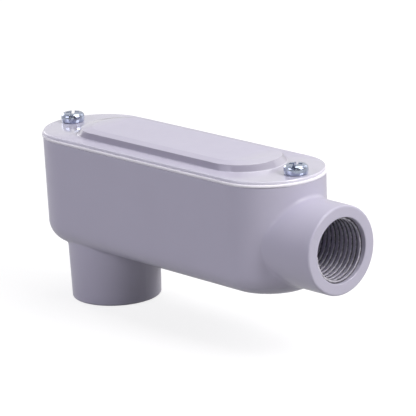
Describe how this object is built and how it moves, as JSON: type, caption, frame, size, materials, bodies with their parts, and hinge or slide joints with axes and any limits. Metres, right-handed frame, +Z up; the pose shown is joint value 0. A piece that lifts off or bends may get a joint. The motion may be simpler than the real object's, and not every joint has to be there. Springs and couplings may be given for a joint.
{
  "type": "conduit body",
  "caption": "Oblong cast junction box that turns a threaded conduit run through a right angle, with a gasketed cover held by screws.",
  "frame": {"origin": "centre of the back hub's mouth", "axes": "+Z up the back hub's axis into the box and out of the cover, +X along the box to the end hub, whose mouth faces +X"},
  "size_m": [0.1286, 0.0356, 0.0586],
  "materials": {
    "grey_paint_body": "pale grey semi-gloss paint over die-cast aluminium",
    "grey_paint_cover": "pale grey semi-gloss paint over a thin aluminium plate",
    "foam": "white closed-cell foam",
    "zinc": "bright blue-white zinc plate"
  },
  "bodies": {
    "housing": {"conduit_body": "grey_paint_body"},
    "cover": {"cover": "grey_paint_cover", "gasket": "foam"},
    "blank_end_screw": {"cover_screw_blank_end": "zinc"},
    "hub_end_screw": {"cover_screw_hub_end": "zinc"}
  },
  "joints": [
    {"name": "cover_lift", "type": "slide", "parent": "housing", "child": "cover", "axis": [0, 0, 1], "range_m": [0, 0.025]},
    {"name": "blank_end_screw_turn", "type": "hinge", "parent": "cover", "child": "blank_end_screw", "pos_m": [-0.0178, 0, 0.0554], "axis": [0, 0, 1], "range_deg": [0, 3580]},
    {"name": "hub_end_screw_turn", "type": "hinge", "parent": "cover", "child": "hub_end_screw", "pos_m": [0.0868, 0, 0.0554], "axis": [0, 0, 1], "range_deg": [0, 3580]}
  ]
}
